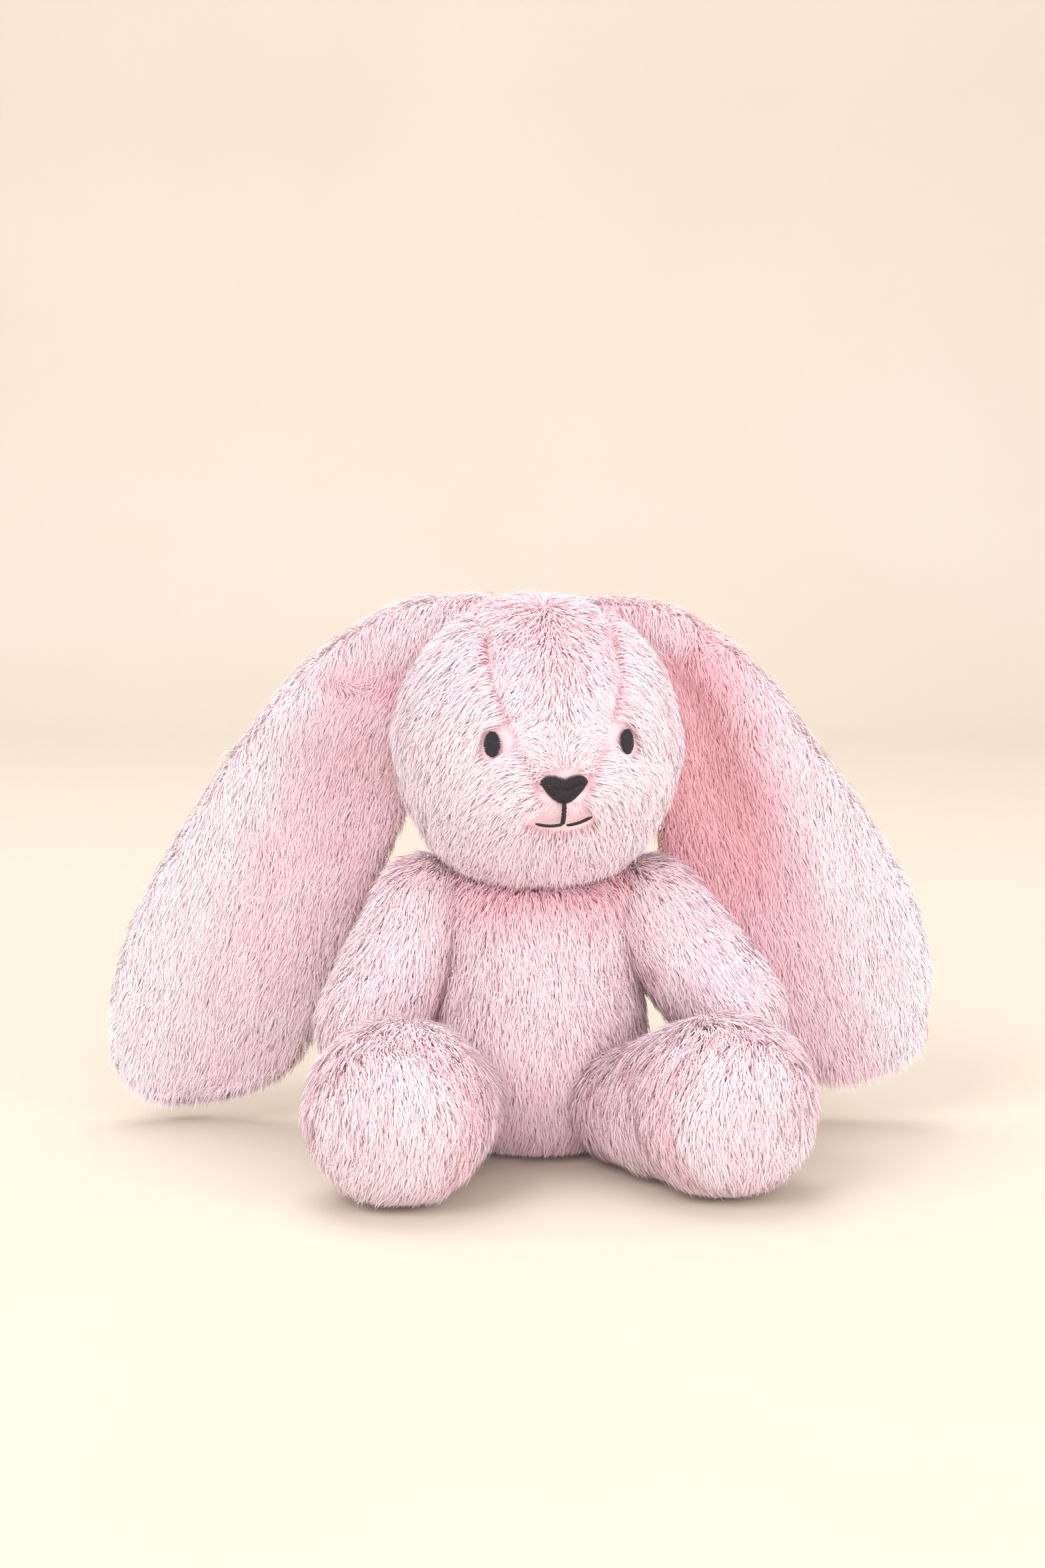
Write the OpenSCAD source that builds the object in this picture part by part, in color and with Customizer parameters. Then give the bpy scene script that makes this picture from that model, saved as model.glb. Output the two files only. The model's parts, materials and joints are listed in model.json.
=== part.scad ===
// Sitting plush rabbit with long hanging ears.
// Millimetres, +Z up. The rabbit faces -Y, so its own left side is at +X.
// The origin is the middle of the flat seat, on the surface that the rabbit sits on.

/* [Fabric] */
// Thickness of the plush fabric with its pile pressed flat
fabric_t = 4; // [3:0.5:5]
// Gap between the fabric and what it holds, and between pieces that lie side by side
fit_gap = 0.4; // [0.2:0.1:0.8]
// Gap between a limb's round root and its socket, where the stitching lies
seam_gap = 2.2; // [1.8:0.1:3]
// Thickness of the sewing thread
thread_d = 1.2; // [0.8:0.1:1.4]

/* [Torso] */
// Radius of the belly
belly_r = 43; // [36:1:52]
// Radius of the torso at the shoulders
shoulder_r = 34; // [28:1:38]
// Height of the neck joint above the seat
neck_z = 98; // [84:1:118]
// Radius of the round neck
neck_r = 24; // [19:1:27]
// Height of the filled bean bag in the seat
bean_h = 26; // [18:1:32]
// Radius of the tail
tail_r = 16; // [12:1:20]

/* [Head] */
// Radius of the head
head_r = 57; // [48:1:68]
// How far the head is turned towards the rabbit's own left
head_turn = 9.5; // [-20:0.5:20]
// Width of the strip that runs from the nose over the top of the head
gusset_w = 46; // [36:1:54]
// Width of an eye
eye_w = 6.6; // [5:0.2:9]
// Height of an eye
eye_h = 9.4; // [7:0.2:12]
// Angle of each eye from the middle of the face
eye_side = 28; // [22:1:34]
// Width of the nose
nose_w = 18; // [14:1:24]
// Width of the mouth
mouth_w = 22; // [16:1:28]
// How far the embroidery stands out of the fabric
stitch_t = 1; // [0.6:0.1:1.6]

/* [Ears] */
// Length of an ear from its root
ear_l = 208; // [180:2:260]
// Width of an ear at its widest
ear_w = 76; // [64:1:92]
// Thickness of both layers of an ear at its middle
ear_t = 11; // [8:0.5:14]
// Radius of an ear's gathered root
ear_root_r = 8; // [6:0.5:10]
// How far an ear curves down along its length, in degrees
ear_bend = 26; // [10:1:40]
// Slope of the right ear below level where it leaves its root
ear_slope_right = 52; // [46:1:58]
// Slope of the left ear below level where it leaves its root
ear_slope_left = 57; // [50:1:61]

/* [Arms] */
// Radius of an arm at the shoulder
arm_root_r = 15; // [12:0.5:17]
// Radius of an arm at the paw
paw_r = 19.5; // [17:0.5:23]
// Distance from the shoulder to the middle of the paw
arm_l = 50; // [42:1:62]

/* [Legs] */
// Radius of a leg at the hip
leg_root_r = 18; // [15:0.5:21]
// Radius of a foot
foot_r = 33.5; // [28:0.5:38]
// Distance from the hip to the middle of the foot
leg_l = 50; // [44:1:62]
// How far the right leg points outwards
leg_splay_right = 20; // [8:1:34]
// How far the left leg points outwards
leg_splay_left = 44; // [30:1:50]

/* [Care label] */
// Width of the care label
label_w = 14; // [10:1:20]
// Length of the care label outside the seam
label_l = 18; // [12:1:26]
// Thickness of the folded label ribbon
label_t = 0.8; // [0.5:0.1:1.2]

/* [Hidden] */
$fn = 64;

LEFT = 1;
RIGHT = -1;
BIG = 400;
plush = [0.96, 0.80, 0.84];
lining = [0.95, 0.68, 0.71];
filling = [0.97, 0.97, 0.95];
black_thread = [0.10, 0.09, 0.10];
pink_thread = [0.90, 0.62, 0.66];

// The seat is flat where the belly's ball is cut by the floor.
belly_z = belly_r * 0.79;
shoulder_z = neck_z - shoulder_r + 4;
head_z = neck_z + head_r + 4;
socket_r = neck_r + seam_gap;
seam_spread = 24;

// Shoulders lie a little outside the torso, so that an arm can turn without meeting it.
shoulder_at = [shoulder_r + 10, -3, neck_z - 4];
right_arm_way = [-0.42, -0.25, -0.87];
left_arm_way = [0.62, -0.22, -0.75];

// Each hip stands in front of the belly, over the foot's own height.
hip_at = [belly_r * 0.80, -belly_r * 0.90, leg_root_r + 6];
foot_rise = asin((foot_r - hip_at[2]) / leg_l);
sole_cut = 0.42;
sole_in = 24;

ear_at = [head_r * 0.91, head_r * 0.57, head_z + head_r * 0.78];
ear_widest = 0.66;
ear_cup = 2;
ear_edge_t = 1.6;
ear_rows = 18;
ear_columns = 8;

eye_up = 6;
nose_up = -10;
mouth_up = -23;
nose_drop = nose_w * 0.38;
gusset_front = 282;
gusset_back = 58;

tail_at = [0, belly_r + tail_r * 0.55, belly_z];
bag_wall = 1.2;
label_turn = 52;

// Points on an arc in the half plane [distance from the axis, height along it].
function arc(r, h, from, to, steps = 10) =
    [for (i = [0:steps]) let (a = from + (to - from) * i / steps) [max(0, r * cos(a)), h + r * sin(a)]];

// Outline of a pod: two balls r1 and r2, at heights h1 and h2, joined by the cone that is tangent to both.
function pod_outline(r1, r2, h1, h2) =
    let (tangent = asin((r1 - r2) / (h2 - h1)))
    concat(arc(r1, h1, -90, tangent), arc(r2, h2, tangent, 90));

module pod_profile(r1, r2, h1, h2, inset = 0) {
    polygon(pod_outline(r1 - inset, r2 - inset, h1, h2));
}

// Turns a shape that stands along +Z so that it points along a direction.
module point_along(way) {
    turn = atan2(way[1], way[0]);
    lean = acos(way[2] / norm(way));
    rotate([0, lean, turn]) children();
}

module ring(r, d) {
    rotate_extrude() translate([r, 0]) circle(d = d, $fn = 24);
}

// The ring of stitches that holds a limb's round root to the torso, in the gap round the root.
// It keeps to the side that the limb points away from, so the limb can turn past it.
module root_seam(root_r) {
    seam_r = root_r + seam_gap / 2;
    translate([0, 0, seam_r * cos(seam_spread)]) ring(seam_r * sin(seam_spread), thread_d);
}

// Torso

module torso_profile(inset = 0) {
    intersection() {
        union() {
            pod_profile(belly_r, shoulder_r, belly_z, shoulder_z, inset);
            pod_profile(shoulder_r, neck_r, shoulder_z, neck_z, inset);
        }
        square([BIG, BIG]);
    }
}

module floor_band(low, high) {
    translate([0, low]) square([BIG, high - low]);
}

module limb_sockets(gap = seam_gap) {
    for (side = [LEFT, RIGHT]) {
        translate([side * shoulder_at[0], shoulder_at[1], shoulder_at[2]]) sphere(arm_root_r + gap);
        translate([side * hip_at[0], hip_at[1], hip_at[2]]) sphere(leg_root_r + gap);
    }
}

module torso_panel(from, angle) {
    difference() {
        rotate_extrude(start = from, angle = angle) difference() {
            torso_profile();
            torso_profile(fabric_t);
            floor_band(0, fabric_t);
        }
        limb_sockets();
    }
}

module torso_front() { color(plush) torso_panel(180, 180); }
module torso_back_left() { color(plush) torso_panel(0, 90); }
module torso_back_right() { color(plush) torso_panel(90, 90); }

module torso_base() {
    color(plush) difference() {
        rotate_extrude() intersection() {
            torso_profile();
            floor_band(0, fabric_t);
        }
        limb_sockets();
    }
}

module torso_stuffing() {
    color(filling) difference() {
        rotate_extrude() intersection() {
            torso_profile(fabric_t + fit_gap);
            floor_band(fabric_t + bean_h + 2 * fit_gap, BIG);
        }
        limb_sockets(seam_gap + fit_gap);
    }
}

module bean_space(inset) {
    difference() {
        rotate_extrude() intersection() {
            torso_profile(fabric_t + fit_gap + inset);
            floor_band(fabric_t + fit_gap + inset, fabric_t + fit_gap + bean_h - inset);
        }
        limb_sockets(seam_gap + fit_gap + inset);
    }
}

module bean_bag() {
    color("white") difference() {
        bean_space(0);
        bean_space(bag_wall);
    }
}

module bean_fill() { color([0.93, 0.93, 0.90]) bean_space(bag_wall + fit_gap); }

// Tail

// Turns a profile about the line that runs backwards from the belly's middle.
module about_tail() {
    translate([0, 0, belly_z]) rotate([-90, 0, 0]) rotate_extrude() children();
}

module tail_profile(inset = 0) {
    difference() {
        intersection() {
            translate([0, tail_at[1]]) circle(tail_r - inset);
            square(BIG);
        }
        circle(belly_r + fit_gap);
    }
}

module tail_cover() {
    color(plush) about_tail() difference() {
        tail_profile();
        translate([0, tail_at[1]]) circle(tail_r - fabric_t);
    }
}

module tail_stuffing() { color(filling) about_tail() tail_profile(fabric_t + fit_gap); }

// Radius of the torso at a height on the cone between its two balls.
function cone_r(z) =
    let (lean = asin((belly_r - shoulder_r) / (shoulder_z - belly_z)))
    belly_r / cos(lean) - (z - belly_z) * tan(lean);

// Small slanted stitches that close the back seam above the tail.
module back_closing_thread() {
    stitches = 7;
    stitch_l = 5;
    stitch_lean = 70;
    lowest = belly_z + tail_r + 3;
    highest = shoulder_z + shoulder_r * 0.2;
    color(pink_thread) for (i = [0:stitches - 1]) {
        z = lowest + (highest - lowest) * i / (stitches - 1);
        translate([0, cone_r(z) + thread_d / 2 + fit_gap, z]) rotate([0, stitch_lean, 0])
            cylinder(d = thread_d, h = stitch_l, center = true, $fn = 24);
    }
}

// The folded label is caught in the seam between the seat and a back panel, and stands out of it.
module care_label() {
    seam_r = sqrt(pow(belly_r, 2) - pow(belly_z - fabric_t, 2));
    color("white") rotate([0, 0, label_turn])
        translate([seam_r - fabric_t, -label_w / 2, fabric_t]) cube([label_l + fabric_t, label_w, label_t]);
}

// Neck

// The seam lies in the gap between the neck's ball and its socket, where the head's ball closes over it.
module neck_seam_thread() {
    seam_r = neck_r + seam_gap / 2;
    rise = head_z - neck_z;
    up = asin((pow(socket_r, 2) + pow(rise, 2) - pow(head_r, 2)) / (2 * rise * socket_r));
    color(pink_thread) translate([0, 0, neck_z + seam_r * sin(up)]) ring(seam_r * cos(up), thread_d);
}

// Head

module in_head() {
    rotate([0, 0, head_turn]) translate([0, 0, head_z]) children();
}

module neck_socket() {
    translate([0, 0, neck_z - head_z]) sphere(socket_r);
}

// Revolves a profile about the head's left-right axis. 0 is below, 90 behind, 180 above, 270 in front.
// The profile's height runs towards the left, or for the right side of the head towards the right.
module about_ears(side, from, angle) {
    start = side == LEFT ? from : 180 - from - angle;
    rotate([0, side * 90, 0]) rotate_extrude(start = start, angle = angle) children();
}

module head_band(low, high) {
    intersection() {
        difference() {
            circle(head_r);
            circle(head_r - fabric_t);
        }
        translate([0, low]) square([BIG, high - low]);
    }
}

module head_gusset() {
    color(plush) in_head() difference() {
        about_ears(LEFT, gusset_back, gusset_front - gusset_back)
            head_band(-gusset_w / 2, gusset_w / 2);
        neck_socket();
    }
}

// One side of the head: the cap beside the strip, and below it the whole half with the chin.
module head_side(side) {
    color(plush) in_head() difference() {
        union() {
            about_ears(side, gusset_back, gusset_front - gusset_back) head_band(gusset_w / 2, BIG);
            about_ears(side, gusset_front, 360 - gusset_front + gusset_back) head_band(0, BIG);
        }
        neck_socket();
    }
}

module head_side_left() { head_side(LEFT); }
module head_side_right() { head_side(RIGHT); }

module head_stuffing() {
    color(filling) in_head() difference() {
        sphere(head_r - fabric_t - fit_gap);
        neck_socket();
    }
}

// Embroidery lies on the face as a layer that follows the head's ball.
module stitched(side_angle, up_angle) {
    in_head() intersection() {
        difference() {
            sphere(head_r + stitch_t);
            sphere(head_r);
        }
        rotate([0, 0, side_angle]) rotate([90 - up_angle, 0, 0])
            linear_extrude(height = BIG) children();
    }
}

module eye(side) {
    color(black_thread) stitched(side * eye_side, eye_up)
        scale([eye_w / eye_h, 1]) circle(d = eye_h);
}

module eye_left() { eye(LEFT); }
module eye_right() { eye(RIGHT); }

// Rounded triangle with a dip in its upper edge.
module nose() {
    lobe = nose_w * 0.17;
    tip_r = nose_w * 0.06;
    color(black_thread) stitched(0, nose_up) difference() {
        hull() {
            for (side = [LEFT, RIGHT]) translate([side * (nose_w / 2 - lobe), lobe]) circle(lobe, $fn = 32);
            translate([0, tip_r - nose_drop]) circle(tip_r, $fn = 32);
        }
        translate([0, nose_w * 0.95]) circle(nose_w * 0.65, $fn = 48);
    }
}

// A line down from just below the nose that splits into two upturned strokes.
module mouth() {
    line = mouth_w * 0.075;
    curl_r = mouth_w * 0.42;
    below_nose = head_r * (nose_up - mouth_up) * PI / 180 - nose_drop - 2 * fit_gap;
    color(black_thread) stitched(0, mouth_up) {
        translate([-line / 2, -line / 2]) square([line, below_nose + line / 2]);
        for (side = [LEFT, RIGHT]) intersection() {
            translate([side * mouth_w * 0.24, curl_r - line / 2]) difference() {
                circle(curl_r + line / 2, $fn = 48);
                circle(curl_r - line / 2, $fn = 48);
            }
            translate([side == LEFT ? 0 : -mouth_w / 2, -line - mouth_w * 0.02])
                square([mouth_w / 2, mouth_w * 0.22]);
        }
    }
}

// Ears

// The gathered ear fabric that is sewn into the head's side seam and stays with the head.
// It ends at the inner side of the root, because the ear sweeps through all that lies further out.
module ear_root(side) {
    color(plush) difference() {
        translate([0, ear_at[1], 0]) rotate([90, 0, 0])
            linear_extrude(height = ear_t, center = true) difference() {
                hull() {
                    translate([side * (ear_at[0] - ear_root_r), ear_at[2] - 4]) circle(ear_root_r, $fn = 32);
                    translate([side * head_r * 0.35, head_z + head_r * 0.86]) circle(5, $fn = 32);
                    translate([side * head_r * 0.66, head_z + head_r * 0.50]) circle(5, $fn = 32);
                }
                polygon(ear_swing_space(side));
            }
        in_head() sphere(head_r + fit_gap);
    }
}

// All that lies further out than the inner side of an ear's root.
function ear_swing_space(side) =
    let (inner = ear_at[0] - ear_root_r - 2 * fit_gap)
    [for (p = [[inner, -BIG], [BIG, -BIG], [BIG, BIG], [inner, BIG]]) [side * p[0], p[1]]];

// Middle line of an ear: an arc in its own plane that starts at the root. s goes from 0 to 1.
function ear_middle(s, slope) =
    let (bow = ear_l / (ear_bend * PI / 180))
    bow * [sin(slope + ear_bend * s) - sin(slope), cos(slope + ear_bend * s) - cos(slope)];

// Half width: round at the root, widest at two thirds, round at the tip.
function ear_half_w(s) =
    let (root_s = -ear_root_r / ear_l)
    s < 0 ? ear_root_r * sqrt(max(0, 1 - pow(s / root_s, 2))) :
    s < ear_widest ? ear_root_r + (ear_w / 2 - ear_root_r) * sin(90 * pow(s / ear_widest, 0.85)) :
    ear_w / 2 * sqrt(max(0, 1 - pow((s - ear_widest) / (1 - ear_widest), 2)));

// Thickness of one layer, thinner towards the sides, the root and the tip.
function ear_layer_t(s, q) =
    let (ends = sqrt(sin(180 * min(1, max(0, (s + 0.04) / 1.04)))))
    ear_edge_t + (ear_t / 2 - ear_edge_t) * ends * (1 - pow(abs(q), 2.5));

// s at each row, closer together near the ends, just short of both tips so that no row has no width.
function ear_s(row) =
    let (root_s = -ear_root_r / ear_l, share = (1 - cos(180 * (row + 0.25) / (ear_rows + 0.5))) / 2)
    root_s + (1 - root_s) * share;

// A point on one layer. face is 0 on the middle surface and 1 on the plush.
// out is -1 to the front and 1 to the back.
function ear_point(side, slope, row, q, face, out) =
    let (
        s = ear_s(row),
        way = slope + ear_bend * s,
        middle = ear_middle(s, slope),
        across = q * ear_half_w(s) * [sin(way), cos(way)],
        behind = -ear_cup * q * q + out * (fit_gap / 4 + face * ear_layer_t(s, q))
    )
    [side * (ear_at[0] + middle[0] + across[0]), ear_at[1] + behind, ear_at[2] + middle[1] + across[1]];

module ear_layer(side, slope, out) {
    columns = ear_columns + 1;
    rows = ear_rows + 1;
    size = rows * columns;
    points = [for (face = [0, 1], row = [0:ear_rows], c = [0:ear_columns])
        ear_point(side, slope, row, 2 * c / ear_columns - 1, face, out)];
    function at(face, row, c) = face * size + row * columns + c;
    sheet = [for (row = [0:ear_rows - 1], c = [0:ear_columns - 1])
        [at(1, row, c), at(1, row, c + 1), at(1, row + 1, c + 1), at(1, row + 1, c)]];
    middle = [for (row = [0:ear_rows - 1], c = [0:ear_columns - 1])
        [at(0, row, c), at(0, row + 1, c), at(0, row + 1, c + 1), at(0, row, c + 1)]];
    sides = [for (row = [0:ear_rows - 1], c = [0, ear_columns])
        c == 0 ? [at(0, row, c), at(1, row, c), at(1, row + 1, c), at(0, row + 1, c)]
               : [at(0, row, c), at(0, row + 1, c), at(1, row + 1, c), at(1, row, c)]];
    ends = [for (c = [0:ear_columns - 1], row = [0, ear_rows])
        row == 0 ? [at(0, row, c), at(0, row, c + 1), at(1, row, c + 1), at(1, row, c)]
                 : [at(0, row, c), at(1, row, c), at(1, row, c + 1), at(0, row, c + 1)]];
    quads = concat(sheet, middle, sides, ends);
    turned = side * out > 0;
    triangles = [for (f = quads, half = [0, 1])
        let (t = half == 0 ? [f[0], f[1], f[2]] : [f[0], f[2], f[3]]) turned ? [t[2], t[1], t[0]] : t];
    polyhedron(points, triangles, convexity = 6);
}

module ear_left_lining() { color(lining) ear_layer(LEFT, ear_slope_left, -1); }
module ear_left_back() { color(plush) ear_layer(LEFT, ear_slope_left, 1); }
module ear_right_lining() { color(lining) ear_layer(RIGHT, ear_slope_right, -1); }
module ear_right_back() { color(plush) ear_layer(RIGHT, ear_slope_right, 1); }
module ear_root_left() { ear_root(LEFT); }
module ear_root_right() { ear_root(RIGHT); }

// Arms

module at_shoulder(side) {
    translate([side * shoulder_at[0], shoulder_at[1], shoulder_at[2]])
        point_along(side == LEFT ? left_arm_way : right_arm_way) children();
}

module arm_panel(side, from) {
    color(plush) at_shoulder(side) rotate_extrude(start = from, angle = 180) difference() {
        pod_profile(arm_root_r, paw_r, 0, arm_l);
        pod_profile(arm_root_r, paw_r, 0, arm_l, fabric_t);
    }
}

module arm_stuffing(side) {
    color(filling) at_shoulder(side) rotate_extrude()
        pod_profile(arm_root_r, paw_r, 0, arm_l, fabric_t + fit_gap);
}

module shoulder_thread(side) {
    color(pink_thread) translate([side * shoulder_at[0], shoulder_at[1], shoulder_at[2]])
        point_along([-side * 0.80, 0.25, 0.55]) root_seam(arm_root_r);
}

module arm_left_inner() { arm_panel(LEFT, 270); }
module arm_left_outer() { arm_panel(LEFT, 90); }
module arm_left_stuffing() { arm_stuffing(LEFT); }
module shoulder_left_thread() { shoulder_thread(LEFT); }
module arm_right_inner() { arm_panel(RIGHT, 270); }
module arm_right_outer() { arm_panel(RIGHT, 90); }
module arm_right_stuffing() { arm_stuffing(RIGHT); }
module shoulder_right_thread() { shoulder_thread(RIGHT); }

// Legs

// +Z along the leg, towards the foot, and +Y of the leg's own frame to the rabbit's left.
module at_hip(side) {
    splay = side == LEFT ? leg_splay_left : -leg_splay_right;
    translate([side * hip_at[0], hip_at[1], hip_at[2]])
        point_along([cos(foot_rise) * sin(splay), -cos(foot_rise) * cos(splay), sin(foot_rise)]) children();
}

// The half space in front of the sole's seam. The sole faces further forward than a splayed leg does.
module sole_space(side) {
    turn = side == LEFT ? -sole_in : 0;
    translate([0, 0, leg_l]) rotate([turn, 0, 0])
        translate([-BIG / 2, -BIG / 2, foot_r * sole_cut]) cube(BIG);
}

module leg_profile(inset = 0) {
    pod_profile(leg_root_r, foot_r, 0, leg_l, inset);
}

module leg_skin(from, angle) {
    rotate_extrude(start = from, angle = angle) difference() {
        leg_profile();
        leg_profile(fabric_t);
    }
}

module leg_panel(side, from) {
    color(plush) at_hip(side) difference() {
        leg_skin(from, 180);
        sole_space(side);
    }
}

module foot_sole(side) {
    color(plush) at_hip(side) intersection() {
        leg_skin(0, 360);
        sole_space(side);
    }
}

module leg_stuffing(side) {
    color(filling) at_hip(side) rotate_extrude() leg_profile(fabric_t + fit_gap);
}

module hip_thread(side) {
    color(pink_thread) translate([side * hip_at[0], hip_at[1], hip_at[2]])
        point_along([-side * 0.62, 0.75, 0.22]) root_seam(leg_root_r);
}

module leg_left_inner() { leg_panel(LEFT, 180); }
module leg_left_outer() { leg_panel(LEFT, 0); }
module foot_left_sole() { foot_sole(LEFT); }
module leg_left_stuffing() { leg_stuffing(LEFT); }
module hip_left_thread() { hip_thread(LEFT); }
module leg_right_inner() { leg_panel(RIGHT, 0); }
module leg_right_outer() { leg_panel(RIGHT, 180); }
module foot_right_sole() { foot_sole(RIGHT); }
module leg_right_stuffing() { leg_stuffing(RIGHT); }
module hip_right_thread() { hip_thread(RIGHT); }

torso_front();
torso_back_left();
torso_back_right();
torso_base();
torso_stuffing();
bean_bag();
bean_fill();
tail_cover();
tail_stuffing();
back_closing_thread();
care_label();
neck_seam_thread();
head_gusset();
head_side_left();
head_side_right();
head_stuffing();
ear_root_left();
ear_root_right();
eye_left();
eye_right();
nose();
mouth();
ear_left_lining();
ear_left_back();
ear_right_lining();
ear_right_back();
shoulder_left_thread();
arm_left_inner();
arm_left_outer();
arm_left_stuffing();
shoulder_right_thread();
arm_right_inner();
arm_right_outer();
arm_right_stuffing();
hip_left_thread();
leg_left_inner();
leg_left_outer();
foot_left_sole();
leg_left_stuffing();
hip_right_thread();
leg_right_inner();
leg_right_outer();
foot_right_sole();
leg_right_stuffing();
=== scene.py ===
"""Sitting plush rabbit: skins, pile, embroidery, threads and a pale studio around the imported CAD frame.

Metres, +Z up. The rabbit faces -Y, so its own left side is at +X. Each part of the body is a form: a grid of
points that goes round it and along it. A form gives the fabric panels, the pile on them and the stuffing inside.
"""
import json
import math

import bpy
import numpy as np
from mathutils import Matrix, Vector


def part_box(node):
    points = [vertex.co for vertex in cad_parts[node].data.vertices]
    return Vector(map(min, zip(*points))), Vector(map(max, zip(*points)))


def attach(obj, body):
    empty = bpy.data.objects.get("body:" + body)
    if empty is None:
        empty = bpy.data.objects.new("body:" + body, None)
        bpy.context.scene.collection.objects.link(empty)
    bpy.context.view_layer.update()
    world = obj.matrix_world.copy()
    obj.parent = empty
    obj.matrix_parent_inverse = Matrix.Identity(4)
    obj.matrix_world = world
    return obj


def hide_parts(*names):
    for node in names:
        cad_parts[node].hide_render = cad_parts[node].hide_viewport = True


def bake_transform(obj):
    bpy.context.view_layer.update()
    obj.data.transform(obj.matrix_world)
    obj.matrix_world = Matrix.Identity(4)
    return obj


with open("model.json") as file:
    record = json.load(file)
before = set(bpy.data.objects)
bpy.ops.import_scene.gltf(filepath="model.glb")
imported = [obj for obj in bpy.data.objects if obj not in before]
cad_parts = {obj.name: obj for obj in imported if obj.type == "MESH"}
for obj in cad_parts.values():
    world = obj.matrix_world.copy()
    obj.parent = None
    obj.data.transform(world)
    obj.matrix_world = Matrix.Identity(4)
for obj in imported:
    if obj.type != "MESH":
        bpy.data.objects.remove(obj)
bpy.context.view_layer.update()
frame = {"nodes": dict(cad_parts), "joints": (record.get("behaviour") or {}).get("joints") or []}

MM = 0.001
LEFT, RIGHT = 1, -1
SIDE_NAME = {LEFT: "left", RIGHT: "right"}
UP = np.array([0.0, 0.0, 1.0])
FRONT = np.array([0.0, -1.0, 0.0])

# The fabric lies this far inside the CAD's outer face, and its pile stands out past that face.
SKIN_IN = 2.6 * MM
SKIN_T = 1.0 * MM
FABRIC_CAD = 4.4 * MM
# Strands of pile on each square millimetre.
STRANDS = 2.6


# ---------------------------------------------------------------- vectors, noise and places from the frame

def unit(v):
    v = np.asarray(v, float)
    return v / np.maximum(np.linalg.norm(v, axis=-1, keepdims=True), 1e-12)


def dot(a, b):
    return np.sum(a * b, axis=-1)


def smooth(x, low, high):
    t = np.clip((np.asarray(x, float) - low) / (high - low), 0, 1)
    return t * t * (3 - 2 * t)


def bump(x, width):
    return np.exp(-(np.asarray(x, float) / width) ** 2)


def hashed(ix, iy, iz, seed):
    """A fixed pseudo-random number from 0 to 1 for each lattice point."""
    h = (ix * 73856093) ^ (iy * 19349663) ^ (iz * 83492791) ^ (seed * 2654435761)
    h = (h ^ (h >> 13)) * 1274126177 & 0xFFFFFFFF
    h = (h ^ (h >> 16)) * 2246822519 & 0xFFFFFFFF
    return ((h ^ (h >> 15)) & 0xFFFFFF) / float(0xFFFFFF)


def noise(p, size, seed):
    """Smooth noise from -1 to 1, with features of about this size."""
    q = p / size
    cell = np.floor(q).astype(np.int64)
    f = q - cell
    f = f * f * (3 - 2 * f)
    total = np.zeros(len(p))
    for corner in range(8):
        d = [(corner >> k) & 1 for k in range(3)]
        weight = np.ones(len(p))
        for k in range(3):
            weight *= f[:, k] if d[k] else 1 - f[:, k]
        total += weight * hashed(cell[:, 0] + d[0], cell[:, 1] + d[1], cell[:, 2] + d[2], seed)
    return total * 2 - 1


def nearest_feature(p, size, seed):
    """The nearest of a scatter of points, one in each cell of a lattice. It is the middle of a clump."""
    cell = np.floor(p / size).astype(np.int64)
    best, found = np.full(len(p), 1e9), np.zeros_like(p)
    for i in (-1, 0, 1):
        for j in (-1, 0, 1):
            for k in (-1, 0, 1):
                c = cell + (i, j, k)
                shift = np.stack([hashed(c[:, 0], c[:, 1], c[:, 2], seed + n) for n in (1, 2, 3)], axis=1)
                point = (c + shift) * size
                far = np.linalg.norm(point - p, axis=1)
                closer = far < best
                best[closer], found[closer] = far[closer], point[closer]
    return found


def joint(name):
    return next(j for j in frame["joints"] if j["name"] == name)


def joint_at(name):
    return np.array(joint(name)["pos_m"], float)


def node_points(node):
    mesh = frame["nodes"][node].data
    co = np.zeros(len(mesh.vertices) * 3, np.float32)
    mesh.vertices.foreach_get("co", co)
    return co.reshape(-1, 3).astype(float)


def box_middle(node):
    low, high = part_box(node)
    return (np.array(low) + np.array(high)) / 2


def pod_of(stuffing, pivot):
    """The axis, length and two radii of a limb's outer CAD shape, from its stuffing and its joint."""
    p = node_points(stuffing) - pivot
    axis = unit(p[np.argmax(np.linalg.norm(p, axis=1))])
    along = p @ axis
    end_r = np.linalg.norm(p - np.outer(along, axis), axis=1).max()
    return axis, along.max() - end_r, -along.min() + FABRIC_CAD, end_r + FABRIC_CAD


# ---------------------------------------------------------------- forms

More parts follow.
